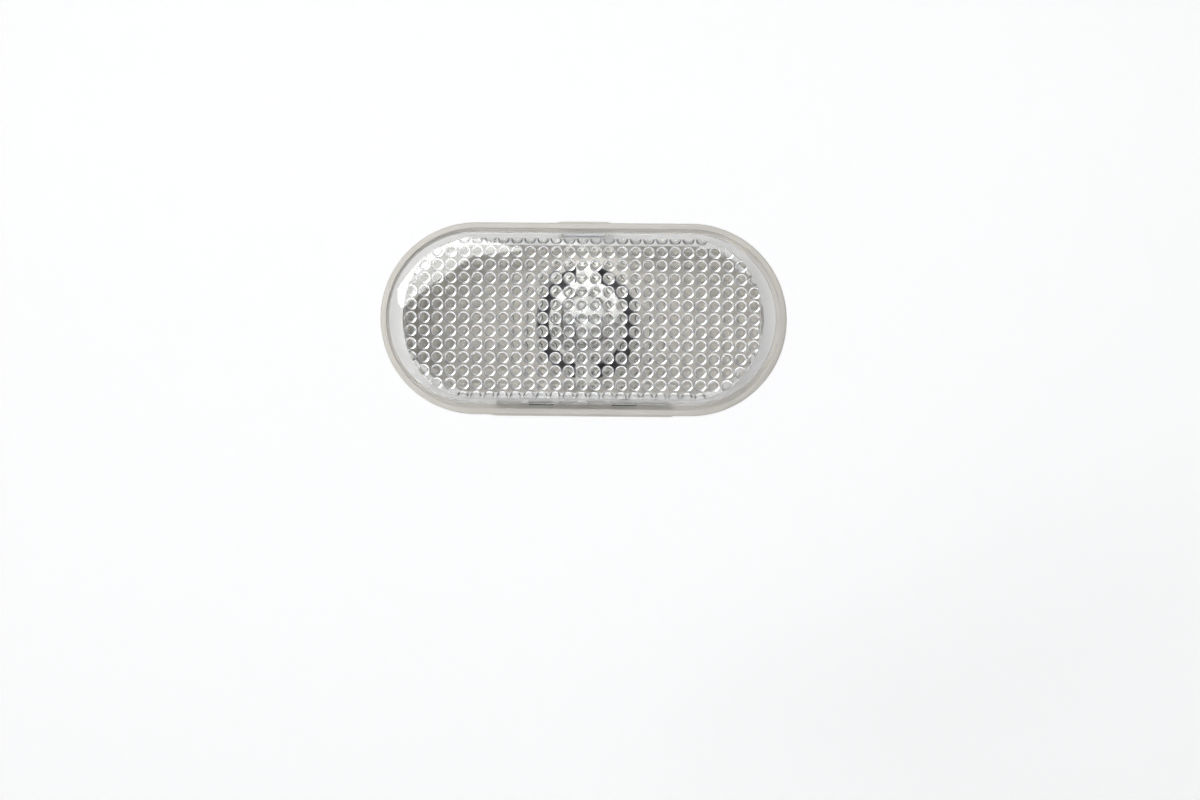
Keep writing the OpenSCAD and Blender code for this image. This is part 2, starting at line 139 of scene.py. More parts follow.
def own_place(tree):
    """Where a point of a piece lies, in the piece's own coordinates."""
    return tree.nodes.new("ShaderNodeTexCoord").outputs["Object"]


# %% Helpers for materials
def new_material(name):
    """A material with only a Principled shader and an output, and its node tree."""
    material = bpy.data.materials.new(name)
    material.use_nodes = True
    tree = material.node_tree
    tree.nodes.clear()
    output = tree.nodes.new("ShaderNodeOutputMaterial")
    shader = tree.nodes.new("ShaderNodeBsdfPrincipled")
    tree.links.new(shader.outputs[0], output.inputs["Surface"])
    return material, tree, shader, output


def seen_by_camera(tree):
    """1 for rays that come from the camera, also by gloss or through glass, and 0 for the rest."""
    path = tree.nodes.new("ShaderNodeLightPath")
    direct = math_node(
        tree, "MAXIMUM", path.outputs["Is Camera Ray"], path.outputs["Is Glossy Ray"]
    )
    return math_node(tree, "MAXIMUM", direct, path.outputs["Is Transmission Ray"])


# %% Build the sweep
SWEEP_WIDTH = 1.6
SWEEP_FRONT = -0.9
SWEEP_BACK = 0.45
SWEEP_FLOOR = -0.16
SWEEP_TOP = 1.0
SWEEP_CURVE = 0.25
SWEEP_GLOW = 0.5


def sweep_profile(steps=16):
    """Points from the floor's front edge, round the curve and up the backdrop."""
    middle = (SWEEP_BACK - SWEEP_CURVE, SWEEP_FLOOR + SWEEP_CURVE)
    points = [(SWEEP_FRONT, SWEEP_FLOOR)]
    for i in range(steps + 1):
        a = math.radians(-90 + 90 * i / steps)
        points.append(
            (middle[0] + SWEEP_CURVE * math.cos(a), middle[1] + SWEEP_CURVE * math.sin(a))
        )
    points.append((SWEEP_BACK, SWEEP_TOP))
    return points


def make_sweep():
    """A sheet of paper that runs along the profile."""
    profile = sweep_profile()
    corners = [(x, y, z) for y, z in profile for x in (-SWEEP_WIDTH / 2, SWEEP_WIDTH / 2)]
    quads = [(2 * i, 2 * i + 1, 2 * i + 3, 2 * i + 2) for i in range(len(profile) - 1)]
    mesh = bpy.data.meshes.new("sweep")
    mesh.from_pydata(corners, [], quads)
    mesh.shade_smooth()
    sweep = bpy.data.objects.new("sweep", mesh)
    bpy.context.scene.collection.objects.link(sweep)
    return sweep


def paper_material():
    """White paper that adds a little light on the camera's own rays."""
    material, tree, shader, output = new_material("white_paper")
    shader.inputs["Base Color"].default_value = (0.82, 0.82, 0.82, 1)
    shader.inputs["Roughness"].default_value = 0.9
    glow = tree.nodes.new("ShaderNodeEmission")
    strength = math_node(tree, "MULTIPLY", seen_by_camera(tree), SWEEP_GLOW)
    tree.links.new(strength, glow.inputs["Strength"])
    both = tree.nodes.new("ShaderNodeAddShader")
    tree.links.new(shader.outputs[0], both.inputs[0])
    tree.links.new(glow.outputs[0], both.inputs[1])
    tree.links.new(both.outputs[0], output.inputs["Surface"])
    return material


sweep = make_sweep()
sweep.data.materials.append(paper_material())
print("sweep behind the lamp by", SWEEP_BACK, "m")

# %% [markdown]
# The photograph's light comes from a large softbox high on the left: its picture lies on the upper
# left corner of the lens, and every bump has its bright crescent at the lower right, where a bump's
# far side throws that light back. Here the box is two lights, a thin key that shows on the face and
# a wide halo that doesn't. Weaker lights and a dim grey world fill the rest, and a narrow beam lights
# the bulb holder deep in its bore.

# %% Hang the lights
SNOOT_TARGET = (0.001, 0.0132, 0.0035)         # the upper half of the bulb holder's front
SNOOT_WIDTH = 0.015                            # of the lit patch
SNOOT_SOFTNESS = 0.003                         # radius of the source


def hung(name, light, position, target, turn=0):
    """An object for a light that faces a target, turned about its own axis by some degrees."""
    carrier = bpy.data.objects.new(name, light)
    bpy.context.scene.collection.objects.link(carrier)
    position, target = Vector(position), Vector(target)
    aim = (position - target).to_track_quat("Z", "Y").to_matrix().to_4x4()
    spin = Matrix.Rotation(math.radians(turn), 4, "Z")
    carrier.matrix_world = Matrix.Translation(position) @ aim @ spin
    return carrier


def softbox(name, position, width, height, power, turn=0):
    """A rectangular area light that faces the frame's middle."""
    light = bpy.data.lights.new(name, "AREA")
    light.shape = "RECTANGLE"
    light.size, light.size_y = width, height
    light.energy = power
    return hung(name, light, position, (0, 0, 0), turn)


def snoot(name, position, power):
    """A narrow beam through the lens onto the bulb holder."""
    light = bpy.data.lights.new(name, "SPOT")
    light.energy = power
    light.shadow_soft_size = SNOOT_SOFTNESS
    reach = (Vector(SNOOT_TARGET) - Vector(position)).length
    light.spot_size = 2 * math.atan(SNOOT_WIDTH / 2 / reach)
    light.spot_blend = 0.2
    return hung(name, light, position, SNOOT_TARGET)


softbox("key", (-0.168, -0.55, 0.142), 0.25, 0.072, 0.55, turn=38)
halo = softbox("halo", (-0.232, -0.55, 0.209), 0.28, 0.23, 1.4, turn=38)
halo.visible_glossy = False                    # only the thin key shows on the face
softbox("left", (-0.50, -0.50, 0.05), 0.26, 0.30, 0.4)
softbox("high", (-0.05, -0.50, 0.50), 0.30, 0.26, 0.42)
softbox("fill", (0.62, -0.42, 0.05), 0.38, 0.38, 0.3)
low = softbox("low", (0.28, -0.50, -0.28), 0.5, 0.3, 0.65)
low.visible_glossy = False                     # it lifts the plastic and stays out of the bumps
low.visible_transmission = False
snoot("snoot", (-0.08, -0.58, 0.06), 36)

# %% Fill with a dim world
world = bpy.data.worlds.new("studio")
bpy.context.scene.world = world
world.use_nodes = True
background = world.node_tree.nodes["Background"]
background.inputs["Color"].default_value = (0.55, 0.56, 0.58, 1)
background.inputs["Strength"].default_value = 0.5

bpy.context.scene.view_settings.view_transform = "Standard"

# %% [markdown]
# ## The lens shell
# The real lens is one injection moulding. Without its bumps it follows a rule: the same half section
# is carried round a stadium, two half rounds joined by straights. So the mesh is made from rings. A
# ring is the stadium at one distance from its spine, and the outer and the inner section are lists
# of such distances with their depths. The cavity's rings are rectangles with rounded corners.

# %% Sizes of the lens
lens_low, lens_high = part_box("lens")
LENS_FRONT = lens_low.y                      # the middle of the face
SEAT = lens_high.y                           # where the lens flange rests on the housing
END_RADIUS = (lens_high.z - lens_low.z) / 2
STRAIGHT = (lens_high.x - lens_low.x) - 2 * END_RADIUS
FLANGE_T = 1.4 * MM
LIP = 0.8 * MM
WALL = 1.3 * MM
END_WALL = 3.1 * MM
CORNER_R = 13 * MM                             # corners of the cavity, seen from the front
FACE_T = 2.6 * MM
EDGE_R = 0.5 * MM
CROWN = 1.2 * MM
DRAFT = math.radians(2)
INNER_CORNER = 0.3 * MM
BEVEL = 0.3 * MM                               # round the front edge of the flange
WELD = -0.02 * MM                              # the flange melts this far into its seat

FOOT_R = END_RADIUS - LIP
CAVITY_R = FOOT_R - WALL
CAVITY_RISE = 2 * (CAVITY_R - CORNER_R)
CAVITY_STRAIGHT = STRAIGHT - 2 * (END_WALL - WALL) + CAVITY_RISE
FIELD_LENGTH = 68.6 * MM                       # reach of the bumps
FIELD_HEIGHT = 30.6 * MM
RECESS_LENGTH = 33.2 * MM                      # hollow in the foot of the lower side wall
RECESS_HEIGHT = 1.2 * MM
RECESS_SKIN = 0.4 * MM                         # left between that hollow and the cavity
RECESS_FROM = CAVITY_R + RECESS_SKIN
INNER_FACE = LENS_FRONT + FACE_T
print("lens stadium:", round(STRAIGHT / MM, 2), "mm straight, radius", round(END_RADIUS / MM, 2), "mm")


# %% Section of the outside
def arc_points(centre, radius, first, last, steps):
    """Points on an arc, its angles in degrees, its ends among them."""
    angles = [math.radians(first + (last - first) * i / steps) for i in range(steps + 1)]
    return [(centre[0] + radius * math.cos(a), centre[1] + radius * math.sin(a)) for a in angles]


def outer_section(face_steps=14, edge_steps=8):
    """[distance from the spine, height above the seat] of the outside, from the middle to the foot."""
    top = SEAT - LENS_FRONT
    reach = FOOT_R - EDGE_R
    crown_r = (reach**2 + CROWN**2) / (2 * CROWN)
    crown_centre = Vector((0, top - crown_r))
    up = Vector((-math.sin(DRAFT), math.cos(DRAFT)))
    inward = Vector((-math.cos(DRAFT), -math.sin(DRAFT)))
    start = Vector((FOOT_R, FLANGE_T)) + EDGE_R * inward
    offset = start - crown_centre
    along = offset.dot(up)
    rise = -along + math.sqrt(along**2 - offset.dot(offset) + (crown_r - EDGE_R) ** 2)
    centre = start + rise * up
    turn = math.degrees(math.atan2(centre.y - crown_centre.y, centre.x))
    face = arc_points(crown_centre, crown_r, 90, turn, face_steps)
    edge = arc_points(centre, EDGE_R, turn, math.degrees(DRAFT), edge_steps)
    return face + edge[1:] + [(FOOT_R, FLANGE_T)]


def inner_section(steps=4):
    """The same for the cavity: from the middle of the flat inner face to the flange's back."""
    top = SEAT - INNER_FACE
    corner = (CORNER_R - INNER_CORNER, top - INNER_CORNER)
    return [(0, top)] + arc_points(corner, INNER_CORNER, 90, 0, steps) + [(CORNER_R, WELD)]


print("outer section has", len(outer_section()), "points")


# %% Carry a section round the stadium
def stadium(radius, depth, straight, rise=0, end_steps=64, straight_steps=14):
    """A ring of points round a stadium at a distance from its spine, seen from the front. With a
    rise the spine is a rectangle that high, and the ring a rectangle with rounded corners."""
    half = straight / 2
    points = []
    for side in (1, -1):
        for i in range(end_steps + 1):
            a = math.pi * (i / end_steps - 0.5)
            lift = 0 if 2 * i == end_steps else math.copysign(rise / 2, a)
            x, z = radius * math.cos(a), radius * math.sin(a) + lift
            points.append(Vector((side * (half + x), depth, side * z)))
        for i in range(1, straight_steps):
            x = side * half * (1 - 2 * i / straight_steps)
            points.append(Vector((x, depth, side * (radius + rise / 2))))
    return points


def ring_mesh(name, *parts):
    """A mesh of rings. A part is a straight, a rise and [radius, height] points, from the spine."""
    shape = bmesh.new()
    rings = []
    for straight, rise, section in parts:
        for radius, height in section:
            ring = stadium(radius, SEAT - height, straight, rise if radius > 0 else 0)
            rings.append([shape.verts.new(point) for point in ring])
    for inner, outer in zip(rings, rings[1:]):
        count = len(inner)
        for i in range(count):
            j = (i + 1) % count
            shape.faces.new((inner[i], inner[j], outer[j], outer[i]))
    bmesh.ops.remove_doubles(shape, verts=shape.verts, dist=1e-7)
    bmesh.ops.recalc_face_normals(shape, faces=shape.faces)
    mesh = bpy.data.meshes.new(name)
    shape.to_mesh(mesh)
    shape.free()
    return mesh


outside = outer_section()
foot = [(END_RADIUS - BEVEL, FLANGE_T), (END_RADIUS, FLANGE_T - BEVEL), (END_RADIUS, WELD)]
shell_mesh = ring_mesh(
    "lens_shell",
    (STRAIGHT, 0, outside + foot),
    (CAVITY_STRAIGHT, CAVITY_RISE, inner_section()[::-1]),
)
print("lens shell:", len(shell_mesh.polygons), "faces")

# %% [markdown]
# ## The pillow optics
# The bumps are what people notice first. On the real lens each is a small spherical cap, cut into
# the mould by one round tool that was stepped along in rows, so they lie on a square lattice and
# are all alike. That is work for Geometry Nodes: a grid of points, thinned to the stadium of the
# field, carries one bump as an instance, and booleans melt the bumps into the shell. The bumps at
# the field's edge run into the side wall, so a limiting shape trims them inside it first.

# %% Small helpers for a node tree
def geometry_tree(name, sizes):
    """A geometry node tree with one float input for each named size."""
    tree = bpy.data.node_groups.new(name, "GeometryNodeTree")
    tree.interface.new_socket("Geometry", in_out="INPUT", socket_type="NodeSocketGeometry")
    for label in sizes:
        tree.interface.new_socket(label, in_out="INPUT", socket_type="NodeSocketFloat")
    tree.interface.new_socket("Geometry", in_out="OUTPUT", socket_type="NodeSocketGeometry")
    return tree, tree.nodes.new("NodeGroupInput"), tree.nodes.new("NodeGroupOutput")


def moved(tree, geometry, place=None, turn=None):
    """A Transform Geometry node's output."""
    node = tree.nodes.new("GeometryNodeTransform")
    tree.links.new(geometry, node.inputs["Geometry"])
    if place is not None:
        feed(tree, node.inputs["Translation"], place)
    if turn is not None:
        node.inputs["Rotation"].default_value = turn
    return node.outputs[0]


def combined(tree, operation, first, *others):
    """A Mesh Boolean node's output; for a difference the first mesh is the one cut."""
    node = tree.nodes.new("GeometryNodeMeshBoolean")
    node.operation = operation
    node.solver = "MANIFOLD"
    tree.links.new(first, node.inputs["Mesh 1" if operation == "DIFFERENCE" else "Mesh 2"])
    for other in others:
        tree.links.new(other, node.inputs["Mesh 2"])
    return node.outputs["Mesh"]


def end_tree(tree, geometry, material, out):
    """Makes instances real, shades the mesh smooth and gives it its material."""
    real = tree.nodes.new("GeometryNodeRealizeInstances")
    tree.links.new(geometry, real.inputs[0])
    smooth = tree.nodes.new("GeometryNodeSetShadeSmooth")
    tree.links.new(real.outputs[0], smooth.inputs[0])
    paint = tree.nodes.new("GeometryNodeSetMaterial")
    paint.inputs["Material"].default_value = material
    tree.links.new(smooth.outputs[0], paint.inputs["Geometry"])
    tree.links.new(paint.outputs[0], out.inputs[0])


# %% From a tree to a piece
def made_by(tree, mesh, name, values, helpers=()):
    """Runs a tree on a mesh with the named values and returns the plain mesh it gives. The helper
    objects that the tree looks at are removed."""
    carrier = bpy.data.objects.new(name, mesh)
    bpy.context.scene.collection.objects.link(carrier)
    modifier = carrier.modifiers.new("nodes", "NODES")
    modifier.node_group = tree
    sockets = {s.name: s.identifier for s in tree.interface.items_tree if s.in_out == "INPUT"}
    for label, value in values.items():
        modifier[sockets[label]] = value
    shown = bpy.context.evaluated_depsgraph_get()
    result = bpy.data.meshes.new_from_object(carrier.evaluated_get(shown))
    result.name = name
    bpy.data.objects.remove(carrier)
    for helper in helpers:
        bpy.data.objects.remove(helper)
    return result


def new_piece(name, mesh):
    """An object at the origin for a finished mesh."""
    piece = bpy.data.objects.new(name, mesh)
    bpy.context.scene.collection.objects.link(piece)
    return piece


# %% [markdown]
# ### Clear acrylic
# The lens is clear acrylic. A Principled shader with full transmission and acrylic's index of
# refraction bends the light as the real one does. Lamps can't shine through such glass in Cycles
# by themselves, so for shadow rays the material turns transparent, a little dimmer than air. The
# steep flanks of the bumps throw much of the light back, so at their depth it is dimmer still, most
# of all in the middle of the field. It is dimmer too at the roof of the hollow along the lower edge.

# %% A material for clear plastic and glass
def passing_share(tree, through, dim):
    """How much of a shadow ray's light passes: through, or a box's own share inside a box of dim,
    which lists boxes as low corner, high corner and share."""
    level = through
    for low, high, share in dim:
        inside = 1.0
        for socket, least, most in zip(parts_of(tree, own_place(tree)), low, high):
            above = math_node(tree, "GREATER_THAN", socket, least)
            under = math_node(tree, "LESS_THAN", socket, most)
            both = math_node(tree, "MULTIPLY", above, under)
            inside = math_node(tree, "MULTIPLY", inside, both)
        change = math_node(tree, "SUBTRACT", share, level)
        level = math_node(tree, "ADD", level, math_node(tree, "MULTIPLY", inside, change))
    return level


def clear_material(name, tint, ior, roughness, through, haze_scale, haze_depth, dim=()):
    """Clear plastic or glass with faint unevenness on its polish, open to shadow rays."""
    material, tree, shader, output = new_material(name)
    shader.inputs["Base Color"].default_value = (*tint, 1)
    shader.inputs["Transmission Weight"].default_value = 1.0
    shader.inputs["IOR"].default_value = ior
    shader.inputs["Roughness"].default_value = roughness
    noise = tree.nodes.new("ShaderNodeTexNoise")
    noise.inputs["Scale"].default_value = haze_scale
    noise.inputs["Detail"].default_value = 3
    tree.links.new(own_place(tree), noise.inputs["Vector"])
    uneven = tree.nodes.new("ShaderNodeBump")
    uneven.inputs["Strength"].default_value = 0.25
    uneven.inputs["Distance"].default_value = haze_depth
    tree.links.new(noise.outputs["Fac"], uneven.inputs["Height"])
    tree.links.new(uneven.outputs[0], shader.inputs["Normal"])
    clear = tree.nodes.new("ShaderNodeBsdfTransparent")
    level = passing_share(tree, through, dim)
    tree.links.new(vector_of(tree, level, level, level), clear.inputs["Color"])
    path = tree.nodes.new("ShaderNodeLightPath")
    mix = tree.nodes.new("ShaderNodeMixShader")
    tree.links.new(path.outputs["Is Shadow Ray"], mix.inputs["Fac"])
    tree.links.new(shader.outputs[0], mix.inputs[1])
    tree.links.new(clear.outputs[0], mix.inputs[2])
    tree.links.new(mix.outputs[0], output.inputs["Surface"])
    return material


# %% Material of the lens
FAR = 1.0                                      # past the lens on every side
LAYER = 0.1 * MM                               # how far a dimmed layer reaches past its face
BUMP_TIPS = 0.8 * MM                           # just past the tips of the bumps
FIELD_MARGIN = 4 * MM                          # edge of the field that stays lighter

bump_from, bump_to = INNER_FACE - LAYER, INNER_FACE + BUMP_TIPS
dark_x, dark_z = FIELD_LENGTH / 2 - FIELD_MARGIN, FIELD_HEIGHT / 2 - FIELD_MARGIN
roof = SEAT - RECESS_HEIGHT
LENS_PLASTIC = clear_material(
    "clear_acrylic", (0.97, 0.975, 0.975), 1.49, 0.02, 0.92, haze_scale=260, haze_depth=0.02 * MM,
    dim=[
        ((-FAR, bump_from, -FAR), (FAR, bump_to, FAR), 0.5),
        ((-dark_x, bump_from, -dark_z), (dark_x, bump_to, dark_z), 0.12),
        (
            (-RECESS_LENGTH / 2, roof - LAYER, -END_RADIUS),
            (RECESS_LENGTH / 2, roof + LAYER, -CAVITY_R),
            0.2,
        ),
    ],
)
print("material", LENS_PLASTIC.name)

# %% [markdown]
# ### One bump and its lattice
# A bump is what a ball and a slab have in common, so only the cap and a short root are left. The
# ball's radius follows from the bump's width and height. The lattice counts its rows and columns from
# the size of the field, always an odd number, so that one bump sits in the middle.

# %% Shape of one bump
BUMP_WIDTH = 2.3 * MM
BUMP_HEIGHT = 0.75 * MM
BUMP_ROOT = 0.3 * MM                           # how far a bump reaches into the face
BUMP_SIDES = 24
BUMP_RINGS = 22


def bump_shape(tree, width, height, root):
    """A spherical cap that hangs below zero, with a root above it to melt into the face."""
    square = math_node(tree, "MULTIPLY", width, width)
    chord = math_node(tree, "MULTIPLY", square, 0.25)
    depth = math_node(tree, "MULTIPLY", height, height)
    sum_of_squares = math_node(tree, "ADD", chord, depth)
    radius = math_node(tree, "DIVIDE", sum_of_squares, math_node(tree, "MULTIPLY", height, 2.0))
    ball = tree.nodes.new("GeometryNodeMeshUVSphere")
    ball.inputs["Segments"].default_value = BUMP_SIDES
    ball.inputs["Rings"].default_value = BUMP_RINGS
    tree.links.new(radius, ball.inputs["Radius"])
    raised = vector_of(tree, z=math_node(tree, "SUBTRACT", radius, height))
    slab = tree.nodes.new("GeometryNodeMeshCube")
    tall = math_node(tree, "ADD", math_node(tree, "MULTIPLY", height, 1.2), root)
    tree.links.new(vector_of(tree, width, width, tall), slab.inputs["Size"])
    lift = math_node(tree, "SUBTRACT", root, math_node(tree, "MULTIPLY", tall, 0.5))
    return combined(
        tree,
        "INTERSECT",
        moved(tree, ball.outputs["Mesh"], place=raised),
        moved(tree, slab.outputs["Mesh"], place=vector_of(tree, z=lift)),
    )


print("bump:", round(BUMP_WIDTH / MM, 2), "mm wide,", round(BUMP_HEIGHT / MM, 2), "mm high")


# %% Lattice of the field
BUMP_PITCH = 2.48 * MM


def from_spine(tree, along, across, reach):
    """Distance of a point from a stadium's spine, which reaches as far on both sides."""
    beyond = math_node(tree, "ABSOLUTE", along)
    past = math_node(tree, "MAXIMUM", math_node(tree, "SUBTRACT", beyond, reach), 0.0)
    squares = math_node(
        tree,
        "ADD",
        math_node(tree, "MULTIPLY", past, past),
        math_node(tree, "MULTIPLY", across, across),
    )
    return math_node(tree, "SQRT", squares)


def outside_field(tree, length, height):
    """True for points of the grid that lie outside the field's stadium."""
    spot = parts_of(tree, tree.nodes.new("GeometryNodeInputPosition").outputs[0])
    radius = math_node(tree, "MULTIPLY", height, 0.5)
    reach = math_node(tree, "SUBTRACT", math_node(tree, "MULTIPLY", length, 0.5), radius)
    return math_node(tree, "GREATER_THAN", from_spine(tree, spot["X"], spot["Y"], reach), radius)


def lattice(tree, pitch, length, height):
    """Points on a square lattice round the middle, inside the field."""
    grid = tree.nodes.new("GeometryNodeMeshGrid")
    for across, side, count in ((length, "Size X", "Vertices X"), (height, "Size Y", "Vertices Y")):
        two_pitches = math_node(tree, "MULTIPLY", pitch, 2.0)
        half = math_node(tree, "FLOOR", math_node(tree, "DIVIDE", across, two_pitches))
        steps = math_node(tree, "MULTIPLY", half, 2.0)
        tree.links.new(math_node(tree, "ADD", steps, 1.0), grid.inputs[count])
        tree.links.new(math_node(tree, "MULTIPLY", steps, pitch), grid.inputs[side])
    cut = tree.nodes.new("GeometryNodeDeleteGeometry")
    cut.domain = "POINT"
    tree.links.new(grid.outputs["Mesh"], cut.inputs["Geometry"])
    tree.links.new(outside_field(tree, length, height), cut.inputs["Selection"])
    points = tree.nodes.new("GeometryNodeMeshToPoints")
    tree.links.new(cut.outputs[0], points.inputs["Mesh"])
    return points.outputs["Points"]


print("lattice:", round(BUMP_PITCH / MM, 2), "mm from bump to bump")

# %% [markdown]
# The window over the spring clip is part of the same tree: a small wall is added inside the cavity,
# and the opening is cut through the side wall in front of it. Along the lower edge the foot of the
# wall is hollowed over the openings in the housing, with a thin skin left towards the cavity.

# %% Window and hollow
WINDOW_WIDTH = 9.3 * MM
WINDOW_HEIGHT = 2.6 * MM
WINDOW_WALL = 0.6 * MM
WINDOW_FROM = END_RADIUS - 1.9 * MM
WINDOW_TO = FOOT_R + 0.1 * MM
MELT = 0.3 * MM                                # how far an added wall runs into the side wall
PAST = 1 * MM                                  # how far an opening's block runs out of the lens


def block(tree, size, middle):
    """A box as a node's output, from plain numbers."""
    cube = tree.nodes.new("GeometryNodeMeshCube")
    cube.inputs["Size"].default_value = size
    return moved(tree, cube.outputs["Mesh"], place=middle)


def window_blocks(tree):
    """The wall added round the window, the opening itself and the hollow along the lower edge."""
    deep = WINDOW_HEIGHT + WINDOW_WALL
    low, high = WINDOW_FROM - WINDOW_WALL, WINDOW_FROM + MELT
    wall = block(
        tree,
        (WINDOW_WIDTH + 2 * WINDOW_WALL, deep, high - low),
        (0, SEAT - deep / 2, (low + high) / 2),
    )
    opening = block(
        tree,
        (WINDOW_WIDTH, WINDOW_HEIGHT + PAST, WINDOW_TO - WINDOW_FROM),
        (0, SEAT + (PAST - WINDOW_HEIGHT) / 2, (WINDOW_FROM + WINDOW_TO) / 2),
    )
    recess = block(
        tree,
        (RECESS_LENGTH, RECESS_HEIGHT + PAST, WINDOW_TO - RECESS_FROM),
        (0, SEAT + (PAST - RECESS_HEIGHT) / 2, -(RECESS_FROM + WINDOW_TO) / 2),
    )
    return wall, opening, recess


print("window:", round(WINDOW_WIDTH / MM, 1), "mm wide,", round(WINDOW_HEIGHT / MM, 1), "mm deep")


# %% Tree of the whole lens
def lens_tree(limit, material):
    """Shell in, finished lens out."""
    sizes = ["Pitch", "Bump Width", "Bump Height", "Root", "Field Length", "Field Height", "Face"]
    tree, given, out = geometry_tree("pillow_lens", sizes)
    get = {label: given.outputs[label] for label in sizes}
    carry = tree.nodes.new("GeometryNodeInstanceOnPoints")
    points = lattice(tree, get["Pitch"], get["Field Length"], get["Field Height"])
    tree.links.new(points, carry.inputs["Points"])
    one = bump_shape(tree, get["Bump Width"], get["Bump Height"], get["Root"])
    tree.links.new(one, carry.inputs["Instance"])
    real = tree.nodes.new("GeometryNodeRealizeInstances")
    tree.links.new(carry.outputs[0], real.inputs[0])
    stood = moved(
        tree, real.outputs[0], place=vector_of(tree, y=get["Face"]), turn=(math.pi / 2, 0, 0)
    )
    info = tree.nodes.new("GeometryNodeObjectInfo")
    info.inputs["Object"].default_value = limit
    trimmed = combined(tree, "INTERSECT", stood, info.outputs["Geometry"])
    wall, opening, recess = window_blocks(tree)
    body = combined(tree, "UNION", given.outputs["Geometry"], wall)
    opened = combined(tree, "DIFFERENCE", body, opening, recess)
    end_tree(tree, combined(tree, "UNION", opened, trimmed), material, out)
    return tree


# %% [markdown]
# The sizes go into the tree by each socket's identifier, before it runs for the first time. What
# comes out is turned into a plain mesh, so nothing is left that would have to run again.

# %% Make the lens
LIMIT_R = CORNER_R + MELT                      # bumps are trimmed just inside the side wall
LIMIT_ABOVE = 1 * MM
LIMIT_BELOW = 2 * MM
SMOOTH_BELOW = math.radians(32)

limit_top = SEAT - INNER_FACE + LIMIT_ABOVE
limit_foot = SEAT - INNER_FACE - LIMIT_BELOW
limit_section = [(0, limit_top), (LIMIT_R, limit_top), (LIMIT_R, limit_foot), (0, limit_foot)]
limit_mesh = ring_mesh("bump_limit", (CAVITY_STRAIGHT, CAVITY_RISE, limit_section))
limit = new_piece("bump_limit", limit_mesh)
lens_mesh = made_by(
    lens_tree(limit, LENS_PLASTIC),
    shell_mesh,
    "lens_moulding",
    {
        "Pitch": BUMP_PITCH,
        "Bump Width": BUMP_WIDTH,
        "Bump Height": BUMP_HEIGHT,
        "Root": BUMP_ROOT,
        "Field Length": FIELD_LENGTH,
        "Field Height": FIELD_HEIGHT,
        "Face": INNER_FACE,
    },
    helpers=[limit],
)
lens_mesh.set_sharp_from_angle(angle=SMOOTH_BELOW)
lens = new_piece("lens_moulding", lens_mesh)
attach(lens, "lamp_body")
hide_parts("lens")
print("lens:", len(lens_mesh.polygons), "faces")

# %% [markdown]
# ## Finishes of the solid pieces
# Every other piece gets a finish of its own. Moulded plastic has a faint unevenness and small changes
# of tone, metal has fine lines from rolling, and rubber is dull with a little dust. One function
# makes them all, because they differ only in numbers.

# %% Solid finishes
def solid_material(name, colour, roughness, metallic=0.0, tone=0.06, scale=120.0,
                   depth=0.02 * MM, stretch=(1, 1, 1)):
    """A finish with small changes of tone, roughness and height from two noises."""
    material, tree, shader, _ = new_material(name)
    mapping = tree.nodes.new("ShaderNodeMapping")
    mapping.inputs["Scale"].default_value = stretch
    tree.links.new(own_place(tree), mapping.inputs["Vector"])
    broad = tree.nodes.new("ShaderNodeTexNoise")
    broad.inputs["Scale"].default_value = scale
    broad.inputs["Detail"].default_value = 4
    fine = tree.nodes.new("ShaderNodeTexNoise")
    fine.inputs["Scale"].default_value = scale * 18
    fine.inputs["Detail"].default_value = 3
    for noise in (broad, fine):
        tree.links.new(mapping.outputs[0], noise.inputs["Vector"])
    ramp = tree.nodes.new("ShaderNodeValToRGB")
    ramp.color_ramp.elements[0].position = 0.3
    ramp.color_ramp.elements[0].color = (*[c * (1 - tone) for c in colour], 1)
    ramp.color_ramp.elements[1].position = 0.7
    ramp.color_ramp.elements[1].color = (*[min(1, c * (1 + tone)) for c in colour], 1)
    tree.links.new(broad.outputs["Fac"], ramp.inputs["Fac"])
    tree.links.new(ramp.outputs["Color"], shader.inputs["Base Color"])
    polish = tree.nodes.new("ShaderNodeMapRange")
    polish.inputs["To Min"].default_value = roughness * 0.85
    polish.inputs["To Max"].default_value = min(1.0, roughness * 1.15)
    tree.links.new(fine.outputs["Fac"], polish.inputs["Value"])
    tree.links.new(polish.outputs["Result"], shader.inputs["Roughness"])
    uneven = tree.nodes.new("ShaderNodeBump")
    uneven.inputs["Strength"].default_value = 0.5
    uneven.inputs["Distance"].default_value = depth
    tree.links.new(fine.outputs["Fac"], uneven.inputs["Height"])
    tree.links.new(uneven.outputs[0], shader.inputs["Normal"])
    shader.inputs["Metallic"].default_value = metallic
    return material


WHITE_NYLON = solid_material("white_nylon", (0.84, 0.83, 0.80), 0.45, tone=0.03)
FOAM = solid_material("dark_foam", (0.035, 0.034, 0.033), 0.95, tone=0.3, depth=0.1 * MM)
RUBBER = solid_material("black_rubber", (0.012, 0.012, 0.012), 0.6, tone=0.3)
STEEL = solid_material(
    "spring_steel", (0.82, 0.83, 0.85), 0.48, metallic=1.0, tone=0.05, stretch=(1, 12, 12)
)
TINNED = solid_material("tinned_brass", (0.36, 0.30, 0.22), 0.38, metallic=1.0, tone=0.12)
WIRE = solid_material("nickel_wire", (0.5, 0.5, 0.48), 0.35, metallic=1.0, tone=0.05)
TUNGSTEN = solid_material("tungsten", (0.16, 0.16, 0.17), 0.4, metallic=1.0, tone=0.1)

BULB_GLASS = clear_material(
    "bulb_glass", (0.985, 0.99, 0.99), 1.47, 0.0, 0.96, haze_scale=180, haze_depth=0.01 * MM
)
print("finishes so far:", ", ".join(m.name for m in bpy.data.materials))
